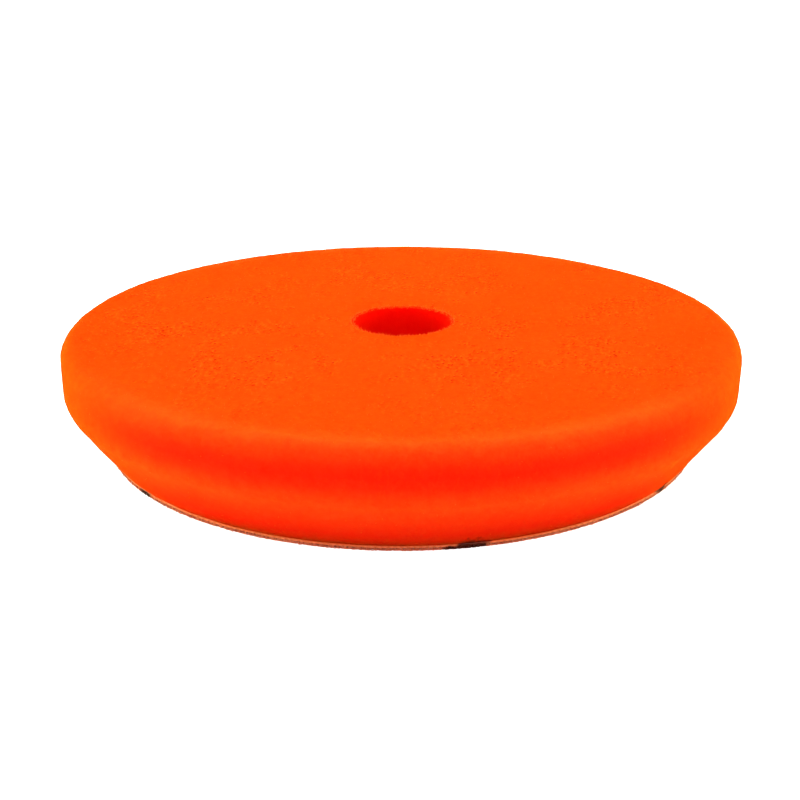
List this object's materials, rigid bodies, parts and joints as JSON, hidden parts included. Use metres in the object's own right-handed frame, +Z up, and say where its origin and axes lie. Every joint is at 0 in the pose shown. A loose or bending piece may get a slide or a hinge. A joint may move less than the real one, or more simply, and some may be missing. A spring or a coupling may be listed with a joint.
{
  "type": "foam polishing pad",
  "caption": "Round foam polishing pad with a flat working face, rounded edge, bevelled back, centre hole and loop-fabric backing.",
  "frame": {"origin": "centre of the face that the pad rests on, which is the free side of its loop backing", "axes": "+Z up, along the centre hole from the loop backing to the working face; X and Y lie in the resting face, and the pad is the same all round"},
  "size_m": [0.14, 0.14, 0.0224],
  "materials": {
    "orange_foam": "matte open-cell polyurethane foam",
    "bond_film": "satin, slightly clear hot-melt film, coloured by the foam behind it",
    "loop_ground": "matte knitted nylon, salmon pink",
    "loop_pile": "matte nylon loops, dusky salmon pink"
  },
  "bodies": {
    "root": {"foam_body": "orange_foam", "bond_film": "bond_film", "loop_ground": "loop_ground", "loop_pile": "loop_pile"}
  },
  "joints": []
}
